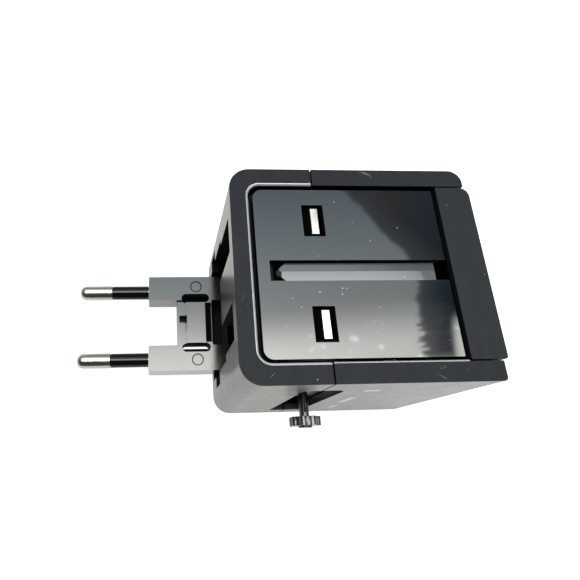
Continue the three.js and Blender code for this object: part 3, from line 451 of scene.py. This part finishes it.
def plug_material():
    """Glossy folding plug with two small round moulding marks on its arms."""
    material, tree, shader = plastic_parts(
        "plug_gloss", (0.006, 0.006, 0.007), 0.13, 0.5, (1500, 0.002 * MM), dust=0.05, wear=0.6,
        tilt=(-33 * MM, 0.045),
    )
    x, y, _ = add_node(tree, "ShaderNodeSeparateXYZ", {0: object_coords(tree)}).outputs
    aside = math_node(tree, "SUBTRACT", math_node(tree, "ABSOLUTE", y), MARK_Y)
    along = math_node(tree, "SUBTRACT", x, MARK_X)
    aside_squared = math_node(tree, "POWER", aside, 2.0)
    along_squared = math_node(tree, "POWER", along, 2.0)
    distance = math_node(tree, "SQRT", math_node(tree, "ADD", aside_squared, along_squared))
    ring = band(tree, distance, MARK_RADIUS - MARK_LINE, MARK_RADIUS, 0.08 * MM)
    # The ring mirrors less than the plastic round it.
    gloss = math_node(tree, "SUBTRACT", 0.5, math_node(tree, "MULTIPLY", ring, 0.42))
    tree.links.new(gloss, shader.inputs["Specular IOR Level"])
    return material


def make_materials():
    fine_grain = (5200, 0.010 * MM)
    rim = (0.0076, 0.0094, 0.0126)
    cap = (0.0082, 0.0106, 0.0136)
    panel = (0.0015, 0.0022, 0.0032)
    pin = (0.030, 0.032, 0.034)
    knob = (0.010, 0.0105, 0.011)
    ripple = 0.001 * MM
    return {
        "rim": plastic("rim_matte", rim, 0.60, 0.12, fine_grain, dust=0.36, wear=0.1, scratches=0.35),
        "side": side_material(),
        # The lip's light grey colour is a painted highlight along the rim's inner edge.
        "lip": plastic("lip_polished", (0.22, 0.23, 0.23), 0.24, 0.8, wear=0.0),
        # Its large edge share paints the panel's rounded edges light grey: a painted highlight.
        "panel": plastic("panel_gloss", panel, 0.035, 0.5, wave=ripple, dust=0.5, wear=8.0),
        "cap": plastic("cap_matte", cap, 0.58, 0.12, fine_grain, dust=0.16, wear=0.2),
        "earth_pin": plastic("earth_pin_satin", pin, 0.16, 0.58, (2600, 0.003 * MM), dust=0.45),
        "plug": plug_material(),
        "knob": plastic("knob_satin", knob, 0.24, 0.55, (2400, 0.008 * MM), dust=0.08, wear=1.5),
        "sleeve": plastic("sleeve_gloss", (0.002, 0.002, 0.0025), 0.10, 0.20),
        # Dark matte plastic for the real inner parts, also used as painted shade inside the case, on
        # the panel's sides and in the carrier's pockets.
        "inner": plastic("inner_matte", (0.003, 0.003, 0.0035), 0.6, 0.06, (3500, 0.010 * MM)),
        "carriage": plastic("carriage_gloss", (0.006, 0.006, 0.007), 0.18, 0.5, (1800, 0.004 * MM)),
        "nickel": metal("nickel_plate", (0.36, 0.345, 0.315), 0.20, (1, 0.05, 0.05)),
        # Near-black metal as painted shade, on the British pins' faces turned to -X and on the European
        # plug's parts left as CAD nodes.
        "painted_shade": metal("contact_painted_shade", (0.02, 0.016, 0.013), 0.6, (0.1, 1, 1), (0.012, 0.01, 0.008)),
        # Coppery metal as a painted reflection, on the British pins' faces turned to +X.
        "copper_reflection": metal("painted_copper_reflection", (0.42, 0.22, 0.12), 0.35, (0.1, 1, 1), (0.12, 0.06, 0.04)),
        "brass": metal("brass_strip", (0.40, 0.26, 0.12), 0.40, (0.1, 1, 1), (0.20, 0.10, 0.06)),
        "steel": metal("steel_bright", (0.50, 0.50, 0.50), 0.30, (1, 0.2, 1)),
        "ceramic": plastic("fuse_ceramic", (0.70, 0.67, 0.60), 0.35, 0.5, (1800, 0.010 * MM), wear=0.0),
    }


# ---------------------------------------------------------------- refined pieces

def body_of(node):
    for body, members in frame["record"]["behaviour"]["bodies"].items():
        if node in members:
            return body
    raise ValueError(node)


def slot_of(node):
    for part in frame["record"]["subparts"]:
        if part["node"] == node:
            return part["material_slot"]
    raise ValueError(node)


def welded(node):
    """The CAD node's mesh with its seams welded and its flat faces made whole."""
    solid = bmesh.new()
    solid.from_mesh(frame["nodes"][node].data)
    bmesh.ops.remove_doubles(solid, verts=solid.verts, dist=WELD_DISTANCE)
    bmesh.ops.dissolve_limit(
        solid, angle_limit=math.radians(FLAT_ANGLE), use_dissolve_boundaries=False,
        verts=solid.verts, edges=solid.edges,
    )
    solid.normal_update()
    return solid


def sharp_edges(solid, choose):
    limit = math.radians(EDGE_ANGLE)
    return [
        edge for edge in solid.edges
        if len(edge.link_faces) == 2 and edge.calc_face_angle(0) > limit and choose(edge)
    ]


def round_edges(solid, width, segments, choose=lambda edge: True, material=0):
    """Rounds the chosen sharp edges, and marks the new faces in the face attribute edge."""
    layer = solid.faces.layers.float.get("edge") or solid.faces.layers.float.new("edge")
    made = bmesh.ops.bevel(
        solid, geom=sharp_edges(solid, choose), offset=width, offset_type="OFFSET",
        segments=segments, profile=0.5, affect="EDGES", clamp_overlap=True, material=material,
    )
    for face in made["faces"]:
        face[layer] = 1.0
    solid.normal_update()


def finished(solid, node, *look_names):
    """Turns the solid into a piece that stands for the CAD node, with its looks in index order."""
    name = node + "_finish"
    mesh = bpy.data.meshes.new(name)
    for face in solid.faces:
        face.smooth = True
    solid.to_mesh(mesh)
    solid.free()
    mesh.set_sharp_from_angle(angle=math.radians(SMOOTH_ANGLE))
    for look in look_names:
        mesh.materials.append(looks[look])
    piece = bpy.data.objects.new(name, mesh)
    bpy.context.scene.collection.objects.link(piece)
    weighted = piece.modifiers.new("weighted_normals", "WEIGHTED_NORMAL")
    weighted.keep_sharp = True
    weighted.weight = 80
    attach(piece, body_of(node))
    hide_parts(node)
    return piece


def refine(node, look, width):
    solid = welded(node)
    round_edges(solid, width, 3)
    finished(solid, node, look)


def on_lip(edge):
    """True on the top edge of the opening in the rim."""
    return all(
        vert.co.z > cad_high.z - 0.1 * MM and abs(vert.co.x) < OPENING_X and abs(vert.co.y) < OPENING_Y
        for vert in edge.verts
    )


def make_shell(node):
    """A case shell: satin sides, a matte rim, a lip painted light grey as a highlight, and an inside
    painted dark as shade.
    """
    side, rim, lip, inner = range(4)
    inset = 0.2 * MM
    solid = welded(node)
    round_edges(solid, 0.5 * MM, 5, choose=on_lip, material=lip)
    round_edges(solid, 0.25 * MM, 3, material=side)
    for face in solid.faces:
        if face.material_index == lip:
            continue
        middle = face.calc_center_median()
        below_top = cad_high.z - middle.z
        deep = min(
            middle.x - CASE_LEFT, cad_high.x - middle.x, cad_high.y - abs(middle.y), middle.z, below_top
        )
        in_opening = abs(middle.x) < OPENING_X - inset and abs(middle.y) < OPENING_Y - inset
        # Top faces get the rim look; faces deep in the opening or inside the walls get the dark inner
        # look as painted shade.
        if face.normal.z > 0.6 and below_top < 0.5 * MM:
            face.material_index = rim
        elif in_opening and below_top < OPENING_DEPTH or deep > WALL_DEPTH:
            face.material_index = inner
    finished(solid, node, "side", "rim", "lip", "inner")


def make_uk_pin(node):
    """A British pin: nickel, with its faces turned to -X painted near-black as shade and those turned
    to +X painted coppery as a reflection.
    """
    dark, reflection_side = 1, 2
    turned = 0.3
    solid = welded(node)
    round_edges(solid, 0.12 * MM, 2)
    for face in solid.faces:
        if face.normal.x < -turned:
            face.material_index = dark
        elif face.normal.x > turned:
            face.material_index = reflection_side
    finished(solid, node, "nickel", "painted_shade", "copper_reflection")


def in_pocket(place):
    return abs(abs(place.y) - POCKET_Y) < POCKET_HALF and abs(place.x - POCKET_X) < POCKET_REACH


def by_pocket(edge):
    """True on the edges of the carrier's two oval pockets."""
    return all(in_pocket(vert.co) for vert in edge.verts)


def make_spring(node, along, held_high):
    """A coil spring with the steel look. Its held end on the axis along is found, but nothing shortens
    it.
    """
    low, high = (Vector(corner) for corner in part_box(node))
    anchor = (low + high) / 2
    anchor[along] = high[along] if held_high else low[along]
    axis = Vector((0, 0, 0))
    axis[along] = 1
    piece = finished(welded(node), node, "steel")
    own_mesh(piece)


def make_uk_panel():
    """The polished panel. Below its face everything gets the dark inner look as painted shade."""
    painted_shade = 1
    face_depth = 0.4 * MM
    solid = welded("uk_face_panel")
    round_edges(solid, 0.22 * MM, 3)
    highest = max(vert.co.z for vert in solid.verts)
    for face in solid.faces:
        if face.calc_center_median().z < highest - face_depth:
            face.material_index = painted_shade
    finished(solid, "uk_face_panel", "panel", "inner")


def make_carrier():
    """The folding plug's carrier: softly rounded outside, with the dark inner look in its pockets as
    painted shade.
    """
    painted_shade = 1
    solid = welded("eu_carrier")
    heights = [vert.co.z for vert in solid.verts if vert.co.x < POCKET_X]
    low, high = min(heights) + 0.3 * MM, max(heights) - 0.45 * MM
    round_edges(solid, 0.12 * MM, 2, choose=by_pocket)
    round_edges(solid, 0.4 * MM, 3, choose=lambda edge: not by_pocket(edge))
    for face in solid.faces:
        middle = face.calc_center_median()
        if low < middle.z < high and in_pocket(middle):
            face.material_index = painted_shade
    finished(solid, "eu_carrier", "plug", "inner")


# ---------------------------------------------------------------- the scene

looks = make_materials()
make_camera()
make_world()
make_floor()

for shell in ("left_shell", "right_shell"):
    make_shell(shell)
for pin in ("uk_live_pin", "uk_neutral_pin"):
    make_uk_pin(pin)
make_uk_panel()
make_carrier()
make_spring("knob_spring", 1, True)
make_spring("shutter_spring", 2, False)

# Each further refined piece: its look and the width of its rounded edges in mm.
plain = {
    "us_face_panel": ("panel", 0.15),
    "socket_cap": ("cap", 0.3),
    "earth_pin": ("earth_pin", 0.2),
    "eu_pin_1": ("nickel", 0.1),
    "eu_pin_2": ("nickel", 0.1),
    "eu_pin_sleeve_1": ("sleeve", 0.08),
    "eu_pin_sleeve_2": ("sleeve", 0.08),
    "us_blade_1": ("nickel", 0.15),
    "us_blade_2": ("nickel", 0.15),
    "carriage": ("carriage", 0.2),
    "knob_stem": ("knob", 0.12),
    "knob_head": ("knob", 0.2),
    "socket_shutter": ("inner", 0.15),
    "divider": ("inner", 0.15),
    "blade_retainer": ("inner", 0.1),
    "blade_rotor_1": ("inner", 0.1),
    "blade_rotor_2": ("inner", 0.1),
    "uk_live_pin_sleeve": ("sleeve", 0.1),
    "uk_neutral_pin_sleeve": ("sleeve", 0.1),
}
for node, (look, width) in plain.items():
    refine(node, look, width * MM)

# The CAD nodes that stay keep their meshes, and get the look of their material slot; the European
# plug's get the near-black metal as painted shade.
slots = {
    "brass": "brass", "steel": "steel", "ceramic": "ceramic", "nickel": "nickel",
    "inner_plastic": "inner", "shell": "side", "panel": "panel", "cap": "cap",
    "earth_pin": "earth_pin", "plug_plastic": "plug", "sleeve": "sleeve",
}
for node, obj in frame["nodes"].items():
    if not obj.hide_render:
        look = "painted_shade" if node.startswith("eu_") else slots.get(slot_of(node), "inner")
        obj.data.materials.clear()
        obj.data.materials.append(looks[look])
